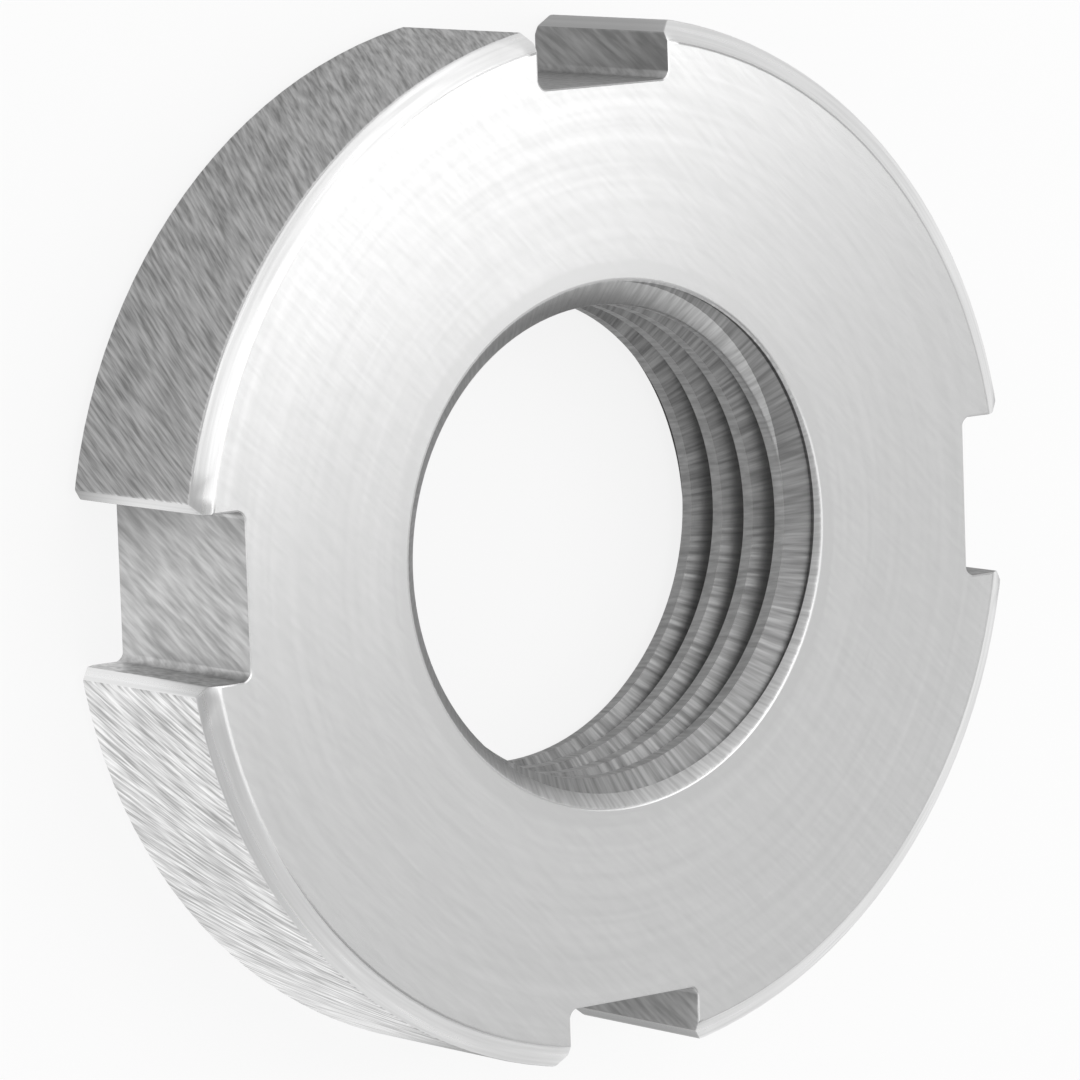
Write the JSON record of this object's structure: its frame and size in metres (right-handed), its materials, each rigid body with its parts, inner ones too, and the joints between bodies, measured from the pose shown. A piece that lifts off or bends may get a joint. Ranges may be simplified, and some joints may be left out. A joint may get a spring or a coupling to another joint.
{
  "type": "slotted round nut",
  "caption": "Flat round steel nut with a fine-threaded bore, chamfered rims and square slots round the edge for a hook spanner.",
  "frame": {"origin": "centre of the bearing face, on the thread's axis", "axes": "+Z along the thread's axis, from the bearing face to the outer face; +X through the middle of a slot"},
  "size_m": [0.0314, 0.0314, 0.0065],
  "materials": {
    "bright_steel": "bare bright steel, turned faces with fine tool marks"
  },
  "bodies": {
    "root": {"round_nut": "bright_steel"}
  },
  "joints": []
}
